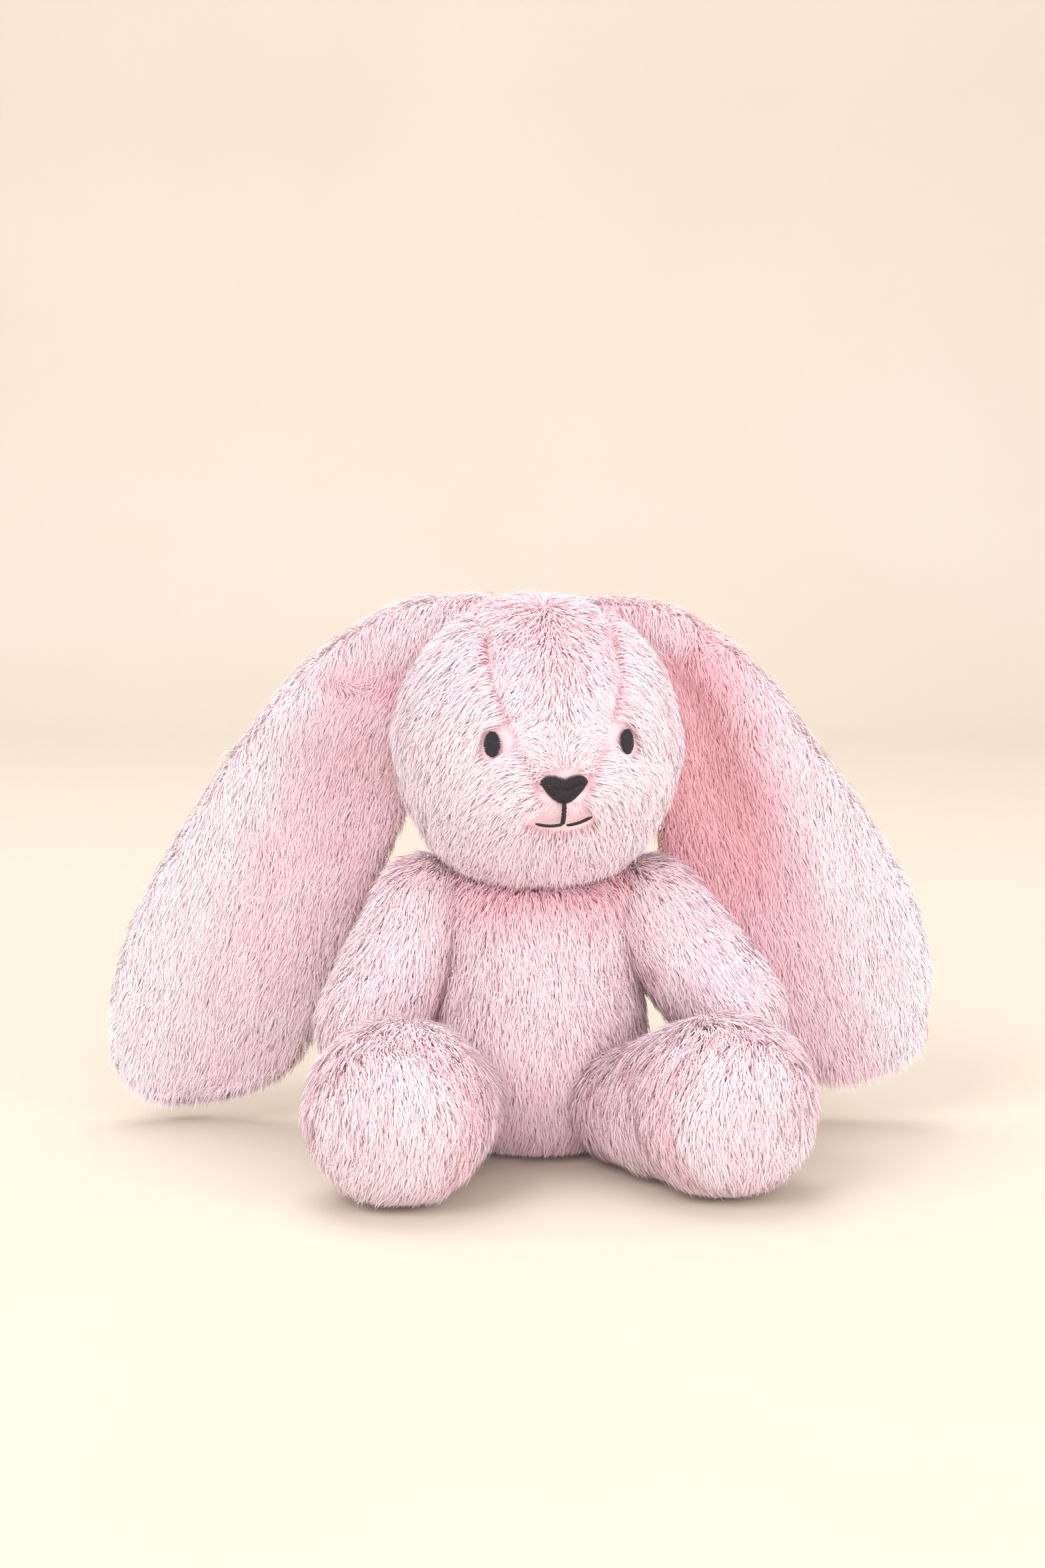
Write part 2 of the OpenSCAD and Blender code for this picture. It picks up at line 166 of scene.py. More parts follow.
class Form:
    """A grid of points. The first index goes round the form and closes on itself, the second goes along it."""

    def __init__(self, points):
        self.p = points
        ahead = np.roll(points, -1, 0) - np.roll(points, 1, 0)
        along = np.gradient(points, axis=1)
        n = np.cross(ahead, along)
        for end, inner in ((0, 1), (-1, -2)):
            n[:, end] = unit(n[:, inner]).mean(0)
        n = unit(n)
        outward = dot(n, points - points.mean((0, 1))).mean()
        self.n = n if outward > 0 else -n
        self.flip = outward <= 0
        self.along = unit(along)

    def corners(self, values):
        nxt = np.roll(values, -1, 0)
        return values[:, :-1], nxt[:, :-1], nxt[:, 1:], values[:, 1:]

    def everywhere(self):
        return np.ones((self.p.shape[0], self.p.shape[1] - 1), bool)

    def scatter(self, cells, per_mm2, rng):
        """Points spread evenly over these cells, with the normal and the direction along the form at each."""
        a, b, c, d = self.corners(self.p)
        area = np.linalg.norm(np.cross(c - a, d - b), axis=-1) / 2 * cells
        count = int(area.sum() / MM**2 * per_mm2)
        pick = rng.choice(area.size, count, p=(area / area.sum()).ravel())
        i, j = np.unravel_index(pick, area.shape)
        s, t = rng.random((count, 1)), rng.random((count, 1))
        made = []
        for values in (self.p, self.n, self.along):
            q = [corner[i, j] for corner in self.corners(values)]
            made.append(q[0] * (1 - s) * (1 - t) + q[1] * s * (1 - t) + q[2] * s * t + q[3] * (1 - s) * t)
        return made[0], unit(made[1]), unit(made[2])


def new_object(name, points, faces, material):
    mesh = bpy.data.meshes.new(name)
    mesh.from_pydata([tuple(v) for v in points], [], [tuple(int(i) for i in f) for f in faces])
    mesh.validate()
    mesh.shade_smooth()
    obj = bpy.data.objects.new(name, mesh)
    bpy.context.scene.collection.objects.link(obj)
    mesh.materials.append(material)
    return obj


def panel(name, form, cells, material, thick=SKIN_T):
    """A closed sheet of fabric over these cells of a form: outer face, inner face and rim."""
    rounds, rows = form.p.shape[:2]
    index = np.arange(rounds * rows).reshape(rounds, rows)
    size = rounds * rows
    a, b, c, d = form.corners(index)
    on = np.argwhere(cells)
    outer = np.stack([v[cells] for v in (a, b, c, d)], axis=1)
    if not form.flip:
        outer = outer[:, ::-1]
    faces = [list(dict.fromkeys(f)) for f in outer]
    faces += [list(dict.fromkeys(f[::-1] + size)) for f in outer]
    padded = np.zeros((rounds, rows + 1), bool)
    padded[:, 1:-1] = cells
    for i, j in on:
        around = (
            (not cells[i - 1, j], index[i, j + 1], index[i, j]),
            (not cells[(i + 1) % rounds, j], index[(i + 1) % rounds, j], index[(i + 1) % rounds, j + 1]),
            (not padded[i, j] and j > 0, index[i, j], index[(i + 1) % rounds, j]),
            (not padded[i, j + 2] and j < rows - 2, index[(i + 1) % rounds, j + 1], index[i, j + 1]),
        )
        for is_rim, v, w in around:
            if is_rim:
                rim = [v, w, w + size, v + size]
                faces.append(rim if not form.flip else rim[::-1])
    points = np.concatenate([form.p.reshape(-1, 3), (form.p - form.n * thick).reshape(-1, 3)])
    return new_object(name, *trimmed(*welded(points, faces)), material)


def welded(points, faces):
    """Joins points that lie in one place, as at a form's two ends."""
    keys = np.round(points / (0.002 * MM)).astype(np.int64)
    _, first, back = np.unique(keys, axis=0, return_index=True, return_inverse=True)
    back = back.reshape(-1)
    joined = [list(dict.fromkeys(int(back[i]) for i in f)) for f in faces]
    return points[first], [f for f in joined if len(f) > 2]


def trimmed(points, faces):
    """Leaves out the points that no face uses."""
    used = np.unique([i for f in faces for i in f])
    place = np.full(len(points), -1)
    place[used] = np.arange(len(used))
    return points[used], [[int(place[i]) for i in f] for f in faces]


# ---------------------------------------------------------------- pile

class Pile:
    """How the pile lies on one part of the body. Lengths are in metres and angles in degrees."""

    def __init__(self, length=8.5 * MM, lean=60, width=0.40 * MM, clump=5.0 * MM, pull=0.36, stray=12, tone=0.35):
        self.length, self.lean, self.width = length, lean, width
        self.clump, self.pull, self.stray, self.tone = clump, pull, stray, tone


def pile(name, form, cells, style, material, seed, comb=None, tone=None, length=None, part=None, density=1.0):
    """Tapered strands over these cells. comb, tone, length and part are functions of the roots and the normals."""
    rng = np.random.default_rng(seed)
    p, n, along = form.scatter(cells, STRANDS * density, rng)
    count = len(p)
    lie = along if comb is None else comb(p, n)
    lie = unit(lie - n * dot(lie, n)[:, None] + 1e-9)
    across = np.cross(n, lie)
    turn = np.radians(rng.normal(0, style.stray, count) + 16 * noise(p, 11 * MM, seed + 5))[:, None]
    lie = lie * np.cos(turn) + across * np.sin(turn)
    if part is not None:
        push = part(p, n)
        lie = unit(lie + push - n * dot(push, n)[:, None])
    reach = style.length * rng.normal(1, 0.13, count) * (1 + 0.16 * noise(p, 7 * MM, seed + 6))
    if length is not None:
        factor = length(p, n, lie * reach[:, None])
        keep = factor > 0.05
        p, n, lie, reach = p[keep], n[keep], lie[keep], (reach * factor)[keep]
        count = len(p)
    lean = np.radians(np.clip(style.lean + rng.normal(0, 8, count) + 9 * noise(p, 9 * MM, seed + 7), 12, 82))[:, None]
    big = nearest_feature(p, style.clump, seed) - p
    small = nearest_feature(p, style.clump * 0.45, seed + 9) - p
    gather = (big * 0.62 + small * 0.38) * style.pull
    gather -= n * dot(gather, n)[:, None]
    reach = reach[:, None]
    up, flat = np.cos(lean), np.sin(lean)
    mid = p + reach * 0.46 * unit(n * (up + 0.42) + lie * flat * 0.8) + gather * 0.35
    tip = p + reach * (n * up * 0.78 + lie * flat) + gather
    way = unit(tip - p)
    wide = unit(np.cross(way, n))
    roll = np.radians(rng.normal(0, 26, count))[:, None]
    wide = wide * np.cos(roll) + np.cross(way, wide) * np.sin(roll)
    half = wide * (style.width * 0.5 * rng.uniform(0.75, 1.25, count))[:, None]
    root = p - n * 0.3 * MM
    points = np.stack([root - half, root + half, mid + half * 0.92, mid - half * 0.92, tip], axis=1)
    shade = style.tone + (0 if tone is None else tone(p, n))
    shade = shade + rng.normal(0, 0.06, count) + 0.12 * noise(p, 9 * MM, seed + 8)
    flat_n = np.cross(wide, way)
    normals = unit(n * 0.75 + unit(flat_n) * 0.35 * np.sign(dot(flat_n, n))[:, None] + way * 0.12)
    return strand_mesh(name, points, np.clip(shade, 0.03, 0.97), normals, material)


# A blade of pile is a quad and a triangle.
BLADE_POINTS = 5
BLADE_LOOPS = (0, 1, 2, 3, 3, 2, 4)
BLADE_STARTS = (0, 4)
BLADE_HEIGHTS = (0.02, 0.02, 0.5, 0.5, 0.5, 0.5, 0.98)
BLADE_SIDES = (-1, 1, 1, -1, -1, 1, 0)


def strand_mesh(name, points, shade, normals, material):
    """One mesh of five-point blades. Its UV map holds each strand's tone across and root to tip upwards."""
    count = len(points)
    mesh = bpy.data.meshes.new(name)
    mesh.vertices.add(count * BLADE_POINTS)
    mesh.vertices.foreach_set("co", points.astype(np.float32).ravel())
    base = (np.arange(count) * BLADE_POINTS)[:, None]
    loops = base + np.array(BLADE_LOOPS)
    mesh.loops.add(count * len(BLADE_LOOPS))
    mesh.loops.foreach_set("vertex_index", loops.astype(np.int32).ravel())
    mesh.polygons.add(count * len(BLADE_STARTS))
    starts = (np.arange(count) * len(BLADE_LOOPS))[:, None] + np.array(BLADE_STARTS)
    mesh.polygons.foreach_set("loop_start", starts.astype(np.int32).ravel())
    mesh.update(calc_edges=True)
    mesh.shade_smooth()
    sliver = 0.004
    u = shade[:, None] + np.array(BLADE_SIDES) * sliver
    v = np.broadcast_to(np.array(BLADE_HEIGHTS), u.shape)
    layer = mesh.uv_layers.new(name="OFBake")
    layer.data.foreach_set("uv", np.stack([u, v], axis=-1).astype(np.float32).ravel())
    mesh.normals_split_custom_set_from_vertices(np.repeat(normals, BLADE_POINTS, axis=0).astype(np.float32))
    mesh.materials.append(material)
    obj = bpy.data.objects.new(name, mesh)
    bpy.context.scene.collection.objects.link(obj)
    return obj


# ---------------------------------------------------------------- materials

def principled(name, roughness, sheen=0.0, sheen_tint=(1, 1, 1)):
    material = bpy.data.materials.new(name)
    material.use_nodes = True
    shader = material.node_tree.nodes["Principled BSDF"]
    shader.inputs["Roughness"].default_value = roughness
    shader.inputs["Sheen Weight"].default_value = sheen
    shader.inputs["Sheen Roughness"].default_value = 0.5
    shader.inputs["Sheen Tint"].default_value = (*sheen_tint, 1)
    shader.inputs["Specular IOR Level"].default_value = 0.25
    return material, material.node_tree, shader


def ramp(tree, stops, factor):
    node = tree.nodes.new("ShaderNodeValToRGB")
    node.color_ramp.elements.remove(node.color_ramp.elements[1])
    for k, (place, colour) in enumerate(stops):
        element = node.color_ramp.elements[0] if k == 0 else node.color_ramp.elements.new(place)
        element.position, element.color = place, (*colour, 1)
    tree.links.new(factor, node.inputs["Fac"])
    return node.outputs["Color"]


def mixed(tree, factor, a, b):
    node = tree.nodes.new("ShaderNodeMix")
    node.data_type = "RGBA"
    colour_in = [s for s in node.inputs if s.type == "RGBA"]
    factor_in = next(s for s in node.inputs if s.name == "Factor" and s.type == "VALUE")
    for socket, value in ((factor_in, factor), (colour_in[0], a), (colour_in[1], b)):
        if hasattr(value, "is_output"):
            tree.links.new(value, socket)
        else:
            socket.default_value = value if socket.type == "VALUE" else (*value, 1)
    return next(s for s in node.outputs if s.type == "RGBA")


def noise_node(tree, size, detail):
    place = tree.nodes.new("ShaderNodeTexCoord")
    node = tree.nodes.new("ShaderNodeTexNoise")
    node.inputs["Scale"].default_value = 1 / size
    node.inputs["Detail"].default_value = detail
    tree.links.new(place.outputs["Object"], node.inputs["Vector"])
    return node.outputs["Fac"]


def bumped(tree, shader, height, strength, distance):
    node = tree.nodes.new("ShaderNodeBump")
    node.inputs["Strength"].default_value = strength
    node.inputs["Distance"].default_value = distance
    tree.links.new(height, node.inputs["Height"])
    tree.links.new(node.outputs["Normal"], shader.inputs["Normal"])


def pile_material():
    """Colour runs from a warm root to a frosted tip, and from a pale strand to a deep one. The deep end gives seams
    and random tone, and in places painted shade.
    """
    material, tree, shader = principled("pile", 0.82, 0.35, (1.0, 0.93, 0.95))
    uv = tree.nodes.new("ShaderNodeUVMap")
    uv.uv_map = "OFBake"
    parts = tree.nodes.new("ShaderNodeSeparateXYZ")
    tree.links.new(uv.outputs["UV"], parts.inputs["Vector"])
    pale = ramp(tree, ((0.0, (0.95, 0.70, 0.75)), (0.4, (0.955, 0.81, 0.865)), (1.0, (0.955, 0.895, 0.945))),
                parts.outputs["Y"])
    deep = ramp(tree, ((0.0, (0.92, 0.30, 0.33)), (0.4, (0.94, 0.45, 0.50)), (1.0, (0.95, 0.62, 0.68))),
                parts.outputs["Y"])
    tree.links.new(mixed(tree, parts.outputs["X"], pale, deep), shader.inputs["Base Color"])
    return material


def cloth_material(name, low, high, size, roughness=0.9, sheen=0.2, grain=0.25 * MM):
    """Mottled cloth with a fine grain."""
    material, tree, shader = principled(name, roughness, sheen)
    tree.links.new(mixed(tree, noise_node(tree, size, 4), low, high), shader.inputs["Base Color"])
    bumped(tree, shader, noise_node(tree, grain * 4, 2), 0.5, grain)
    return material


PILE = pile_material()
SKIN = cloth_material("plush_ground", (0.95, 0.62, 0.66), (0.96, 0.71, 0.75), 6 * MM)
THREAD_BLACK = cloth_material("black_thread", (0.010, 0.009, 0.011), (0.035, 0.030, 0.036), 1.5 * MM, 0.55, 0.15)
THREAD_PINK = cloth_material("pink_thread", (0.70, 0.32, 0.36), (0.84, 0.50, 0.54), 1.2 * MM, 0.7)
FIBRE = cloth_material("polyester_fibre", (0.80, 0.80, 0.78), (0.95, 0.95, 0.93), 5 * MM, 0.95, 0.4, 0.8 * MM)
COTTON = cloth_material("bean_bag_cotton", (0.78, 0.77, 0.74), (0.88, 0.87, 0.85), 2 * MM)
BEANS = cloth_material("bean_pellets", (0.70, 0.70, 0.66), (0.90, 0.90, 0.86), 2.5 * MM, 0.45, 0.0, 1.2 * MM)
RIBBON = cloth_material("label_satin", (0.84, 0.83, 0.81), (0.93, 0.92, 0.90), 0.8 * MM, 0.4)


# ---------------------------------------------------------------- shared making of parts

def place(obj, body, slot, *nodes):
    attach(obj, body)
    finish_piece(obj, slot, *nodes)
    return obj


def finish_piece(obj, slot, *nodes):
    if nodes:
        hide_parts(*nodes)


def filling(name, form, body, inset, node):
    """A lumpy closed body of fibre inside a form, which stands for the CAD's stuffing."""
    p = form.p - form.n * inset
    flat = p.reshape(-1, 3)
    lumps = 0.35 * MM * noise(flat, 5 * MM, 71).reshape(p.shape[:2])
    inner = Form(p + form.n * lumps[..., None])
    rounds, rows = p.shape[:2]
    index = np.arange(rounds * rows).reshape(rounds, rows)
    faces = np.stack([v.ravel() for v in inner.corners(index)], axis=1)
    if not inner.flip:
        faces = faces[:, ::-1]
    obj = new_object(name, *trimmed(*welded(inner.p.reshape(-1, 3), faces)), FIBRE)
    place(obj, body, "stuffing", node)
    return obj


# ---------------------------------------------------------------- head

_core_low, _core_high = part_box("head_stuffing")
HEAD_R = (_core_high[0] - _core_low[0]) / 2 + FABRIC_CAD
HEAD_AT = np.array([0, 0, _core_high[2] - (_core_high[0] - _core_low[0]) / 2])
HEAD_LEFT = unit(np.array(joint("head_nod")["axis"], float))
HEAD_BACK = np.cross(UP, HEAD_LEFT)
GUSSET_HALF = 23 * MM
# The strip's ends round the head, in degrees from its underside by way of the back, and its columns in the grid.
GUSSET_FROM, GUSSET_TO = 58, 282
GUSSET_COLUMNS = (30, 54)
HEAD_STEPS = 180


def in_head(p):
    q = np.asarray(p) - HEAD_AT
    return np.stack([q @ HEAD_LEFT, q @ HEAD_BACK, q[..., 2]], axis=-1)


def head_way(local):
    return local[..., :1] * HEAD_LEFT + local[..., 1:2] * HEAD_BACK + local[..., 2:3] * UP


EYES = {side: in_head(box_middle("eye_" + SIDE_NAME[side])) for side in (LEFT, RIGHT)}
NOSE = in_head(box_middle("nose"))
MOUTH = in_head(box_middle("mouth"))
MOUTH_RISE = (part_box("mouth")[1][2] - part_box("mouth")[0][2]) / 2


def gusset_edge(local):
    """Distance from the strip's seams, on the part of the head that has them."""
    turn = np.degrees(np.arctan2(local[..., 1], -local[..., 2])) % 360
    inside = smooth(turn, GUSSET_FROM - 4, GUSSET_FROM) * (1 - smooth(turn, GUSSET_TO, GUSSET_TO + 4))
    away = np.abs(np.abs(local[..., 0]) - strip_half(local))
    return away + (1 - inside) * 40 * MM


def strip_half(local):
    """Half width of the strip, which narrows from the brow to the nose."""
    height = local[..., 2]
    in_front = smooth(-local[..., 1], 20 * MM, 40 * MM)
    return GUSSET_HALF * (1 - in_front * 0.62 * (1 - smooth(height, -16 * MM, 34 * MM)))


def head_skin_r(way):
    """The fabric's distance from the head's middle: a ball with a muzzle, dents at the eyes and flatter sides."""
    from_muzzle = np.linalg.norm(way - unit(np.array([0, -1, -0.30])), axis=-1)
    r = HEAD_R - SKIN_IN + 2.6 * MM * bump(from_muzzle, 0.45)
    for eye in EYES.values():
        r = r - 1.2 * MM * bump(np.linalg.norm(way - unit(eye), axis=-1), 0.17)
    return r - 1.6 * MM * bump(np.abs(way[..., 0]) - 1, 0.5) + 2.6 * MM * smooth(-way[..., 2], 0.45, 0.85)


def head_form():
    edge = math.asin(GUSSET_HALF / HEAD_R)
    lean = np.concatenate([np.linspace(-np.pi / 2, -edge, 31), np.linspace(-edge, 0, 13)[1:],
                           np.linspace(0, edge, 13)[1:], np.linspace(edge, np.pi / 2, 31)[1:]])
    turn = np.arange(HEAD_STEPS)[:, None] * math.radians(360 / HEAD_STEPS)
    x = np.sin(lean)[None, :] + 0 * turn
    ring = np.cos(lean)[None, :]
    way = np.stack([x, ring * np.sin(turn), -ring * np.cos(turn)], axis=-1)
    # the grid's own seam lines follow the strip as it narrows towards the nose
    local = way * HEAD_R
    half = strip_half(local)
    share = np.abs(local[..., 0]) / HEAD_R
    squeeze = np.where(share <= GUSSET_HALF / HEAD_R, half / GUSSET_HALF,
                       1 - (1 - half / GUSSET_HALF) * np.clip((1 - share) / (1 - GUSSET_HALF / HEAD_R), 0, 1) ** 3
                       * GUSSET_HALF / HEAD_R / np.maximum(share, 1e-6))
    x = way[..., 0] * squeeze
    grow = np.sqrt(np.maximum(1 - x**2, 0) / np.maximum(1 - way[..., 0] ** 2, 1e-9))
    way = np.stack([x, way[..., 1] * grow, way[..., 2] * grow], axis=-1)
    r = head_skin_r(way) - 1.3 * MM * bump(gusset_edge(way * HEAD_R), 2.4 * MM)
    return Form(HEAD_AT + head_way(way * r[..., None]))


def head_comb(p, n):
    """Down the head, and away from the nose on the muzzle."""
    local = in_head(p)
    from_nose = local - NOSE
    near = bump(np.linalg.norm(from_nose, axis=1), 26 * MM)[:, None]
    sideways = local * (1, 0, 0)
    return head_way(np.array([0, 0, -1.0]) * (1 - 0.3 * near) + unit(from_nose) * near * 1.5
                    + sideways / HEAD_R * 0.7 + np.array([0, 0.25, 0]))


def head_part(p, n):
    """The pile parts along the seams of the strip."""
    local = in_head(p)
    away = np.sign(local[:, 0]) * np.sign(np.abs(local[:, 0]) - strip_half(local))
    return head_way(np.stack([away, 0 * away, 0 * away], axis=1)) * (1.5 * bump(gusset_edge(local), 4 * MM))[:, None]


def head_tone(p, n):
    local = in_head(p)
    crown = smooth(local[:, 2], 12 * MM, 50 * MM) * bump(local[:, 0], 24 * MM)
    seam = bump(gusset_edge(local), 2.6 * MM) * smooth(local[:, 2], -12 * MM, 12 * MM)
    return 0.26 * seam + 0.30 * crown - 0.14 * smooth(np.abs(local[:, 0]), 8 * MM, 40 * MM)


def face_space(local, centre):
    """Sideways and upward distance on the face from a point on it, and whether it is on that side."""
    out = unit(centre)
    side = unit(np.cross(UP, out))
    rise = np.cross(out, side)
    d = local - centre
    return dot(d, side), dot(d, rise), dot(unit(local), out) > 0.8


def head_length(p, n, tip):
    """No pile under the embroidery, and short pile above it."""
    local = in_head(p)
    middle, ahead = in_head(p + tip * 0.45), in_head(p + tip * 0.9)
    factor = np.where(local[:, 1] < 0, 0.86, 1.0)
    shapes = [(EYES[LEFT], 0, 4.6 * MM, 6.0 * MM), (EYES[RIGHT], 0, 4.6 * MM, 6.0 * MM), (NOSE, 0, 9.8 * MM, 6.2 * MM),
              (MOUTH, 1 * MM, 2.0 * MM, MOUTH_RISE + 2 * MM), (MOUTH, 1 * MM - MOUTH_RISE, 13.0 * MM, 3.8 * MM)]
    for centre, up, half_w, half_h in shapes:
        for spot, worth in ((local, 0.0), (middle, 0.2), (ahead, 0.25)):
            a, b, near = face_space(spot, centre)
            inside = near & ((a / half_w) ** 2 + ((b - up) / half_h) ** 2 < 1)
            factor = np.where(inside, factor * worth, factor)
    return factor


def make_head():
    form = head_form()
    rounds = (np.arange(HEAD_STEPS)[:, None] + 0.5) * 360 / HEAD_STEPS + np.zeros((1, form.p.shape[1] - 1))
    rows = np.arange(form.p.shape[1] - 1)[None, :] + 0 * rounds
    first, last = GUSSET_COLUMNS
    strip = (rows >= first) & (rows < last) & (rounds > GUSSET_FROM) & (rounds < GUSSET_TO)
    middle = (first + last) // 2
    sides = {RIGHT: (rows < middle) & ~strip, LEFT: (rows >= middle) & ~strip}
    panels = {"head_gusset": strip, "head_side_left": sides[LEFT], "head_side_right": sides[RIGHT]}
    for k, (node, cells) in enumerate(panels.items()):
        skin = place(panel(node + "_skin", form, cells, SKIN), "head", "plush", node)
        hair = pile(node + "_pile", form, cells, Pile(tone=0.22), PILE, 100 + k, head_comb, head_tone, head_length,
                    head_part)
        place(hair, "head", "plush")
    filling("head_filling", form, "head", SKIN_T + 0.6 * MM, "head_stuffing")


# ---------------------------------------------------------------- embroidery

def tube(path, radius, sides=6):
    """Points and faces of a closed tube along a path, round at both ends."""
    path = np.asarray(path, float)
    way = unit(np.gradient(path, axis=0))
    start = np.cross(way, UP)
    start = unit(np.where(np.linalg.norm(start, axis=1, keepdims=True) < 0.1, np.cross(way, FRONT), start))
    other = np.cross(way, start)
    share = np.linspace(0, 1, len(path))
    taper = np.sqrt(np.clip(1 - np.abs(2 * share - 1) ** 8, 0.06, 1)) * radius
    a = np.arange(sides) / sides * 2 * np.pi
    ring = path[:, None] + taper[:, None, None] * (np.cos(a)[None, :, None] * start[:, None]
                                                    + np.sin(a)[None, :, None] * other[:, None])
    points = ring.reshape(-1, 3)
    faces = []
    for i in range(len(path) - 1):
        for k in range(sides):
            m = (k + 1) % sides
            faces.append([i * sides + k, i * sides + m, (i + 1) * sides + m, (i + 1) * sides + k])
    faces.append(list(range(sides))[::-1])
    faces.append([(len(path) - 1) * sides + k for k in range(sides)])
    return points, faces


def threads(name, paths, radius, material, sides=6):
    points, faces, used = [], [], 0
    for path in paths:
        p, f = tube(path, radius, sides)
        points.append(p)
        faces += [[i + used for i in face] for face in f]
        used += len(p)
    return new_object(name, np.concatenate(points), faces, material)


EMBROIDERY_OUT = 1.6 * MM


def on_face(centre, a, b, crown):
    """A point on the embroidered face, a sideways and b upwards from a centre."""
    out = unit(centre)
    side = unit(np.cross(UP, out))
    rise = np.cross(out, side)
    way = unit(out * HEAD_R + np.outer(a, side) + np.outer(b, rise))
    return HEAD_AT + head_way(way * (head_skin_r(way) + EMBROIDERY_OUT + crown)[:, None])


def satin(centre, width_at, low, high, lean, gap, rng, crown=0.6 * MM):
    """Parallel stitches across a shape. width_at gives the shape's left and right edge at a height."""
    paths = []
    for height in np.arange(low + gap / 2, high, gap):
        left, right = width_at(height)
        if right - left < 0.5 * MM:
            continue
        left, right = left - rng.uniform(0, 0.35) * MM, right + rng.uniform(0, 0.35) * MM
        t = np.linspace(0, 1, 9)
        a = left + (right - left) * t
        b = height + lean * (a - (left + right) / 2) + rng.normal(0, 0.05) * MM
        lift = crown * np.sqrt(np.clip(1 - (2 * t - 1) ** 2, 0, 1)) * min(1, (right - left) / (5 * MM))
        paths.append(on_face(centre, a, b, lift))
    return paths


def make_embroidery():
    rng = np.random.default_rng(11)
    thread_r, gap = 0.30 * MM, 0.42 * MM
    for side in (LEFT, RIGHT):
        half_w, half_h = 3.5 * MM, 4.9 * MM

        def oval(height):
            half = half_w * math.sqrt(max(0, 1 - (height / half_h) ** 2))
            return -half, half

        paths = satin(EYES[side], oval, -half_h, half_h, 0.05 * side, gap, rng)
        name = "eye_" + SIDE_NAME[side]
        place(threads(name + "_stitches", paths, thread_r, THREAD_BLACK), "head", "black_embroidery", name)

    top, bottom, half_w = 5.0 * MM, -6.0 * MM, 9.4 * MM

    def heart(across):
        """Lower and upper edge of the nose at a distance from its middle."""
        s = abs(across) / half_w
        upper = top * (1 - 0.26 * bump(s, 0.24)) * math.sqrt(max(0, 1 - max(0, (s - 0.5) / 0.5) ** 2.4)) + 0.4 * MM
        lower = bottom * (1 - s**1.7) ** 0.9 + 1.6 * MM * s**2
        return lower, max(upper, lower)

    paths = []
    for across in np.arange(-half_w + gap / 2, half_w, gap):
        low, high = heart(across)
        if high - low < 0.6 * MM:
            continue
        t = np.linspace(0, 1, 9)
        b = low + (high - low) * t + rng.normal(0, 0.1) * MM
        lift = 0.8 * MM * np.sqrt(np.clip(1 - (2 * t - 1) ** 2, 0, 1)) * min(1, (high - low) / (5 * MM))
        paths.append(on_face(NOSE, across * (1 - 0.12 * t[::-1]), b, lift))
    place(threads("nose_stitches", paths, thread_r, THREAD_BLACK), "head", "black_embroidery", "nose")

    rise = MOUTH_RISE
    strokes = [[(0, rise + 3.2 * MM), (0.3 * MM, 0), (-0.2 * MM, -rise + 1.2 * MM)],
               [(-0.2 * MM, -rise + 1.2 * MM), (-4.5 * MM, -rise - 0.4 * MM), (-9.6 * MM, -rise + 0.9 * MM)],
               [(1.6 * MM, -rise + 0.7 * MM), (6 * MM, -rise + 0.9 * MM), (10.6 * MM, -rise + 3.2 * MM)]]
    paths = []
    for first, bend, last in strokes:
        for k in range(3):
            t = np.linspace(0, 1, 18)[:, None]
            line = (1 - t) ** 2 * np.array(first) + 2 * t * (1 - t) * np.array(bend) + t**2 * np.array(last)
            phase = t[:, 0] * 14 + k * 2.094
            wide = 0.5 * MM
            a, b = line[:, 0] + wide * np.cos(phase), line[:, 1] + wide * np.sin(phase) * 0.9
            paths.append(on_face(MOUTH, a, b, wide * np.sin(phase) + 1.2 * MM))
    place(threads("mouth_stitches", paths, 0.56 * MM, THREAD_BLACK), "head", "black_embroidery", "mouth")


# ---------------------------------------------------------------- torso and tail

def torso_form():
    """A pear on a flat seat. Its four quarters meet at the seams."""
    low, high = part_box("torso_front")
    belly = (high[0] - low[0]) / 2 - SKIN_IN
    neck_z = NECK[2]
    heights = np.array([0.012, 0.014, 0.05, 0.13, 0.30, 0.48, 0.66, 0.82, 0.95, 1.035, 1.062, 1.045, 1.04])
    radii = np.array([0.0, 0.62, 0.74, 0.89, 1.0, 0.985, 0.935, 0.88, 0.845, 0.79, 0.68, 0.36, 0.0])
    knots = np.concatenate([[0, 0.7], 0.7 + np.cumsum(np.hypot(np.diff(heights[1:]), np.diff(radii[1:])))])
    where = np.concatenate([np.linspace(0, knots[1], 9), np.linspace(knots[1], knots[-1], 57)[1:]])
    r = smooth_curve(knots, radii, where) * belly
    z = np.maximum(smooth_curve(knots, heights, where) * neck_z, 1.2 * MM)
    turn = np.arange(96)[:, None] / 96 * 2 * np.pi
    x, y = r * np.cos(turn), r * np.sin(turn)
    chest = 2.0 * MM * bump(z - 0.62 * neck_z, 30 * MM) * np.clip(-np.sin(turn), 0, 1)
    y = y * 0.97 - chest * r / belly
    # a pad on each side fills the shoulder between the arm and the head
    pad = bump(z - 1.03 * neck_z, 13 * MM) * np.abs(np.cos(turn)) ** 5 * smooth(r, 12 * MM, 28 * MM)
    x = x + 7 * MM * pad * np.sign(np.cos(turn))
    z = z + 6 * MM * pad
    seam = np.minimum(np.minimum(np.abs(turn), np.abs(turn - np.pi)), np.abs(turn - 2 * np.pi)) * r
    pull = 1.2 * MM * bump(seam, 3 * MM) * smooth(z, 5 * MM, 20 * MM)
    x, y = x - pull * np.cos(turn), y - pull * np.sin(turn)
    return Form(np.stack([x, y, z], axis=-1))


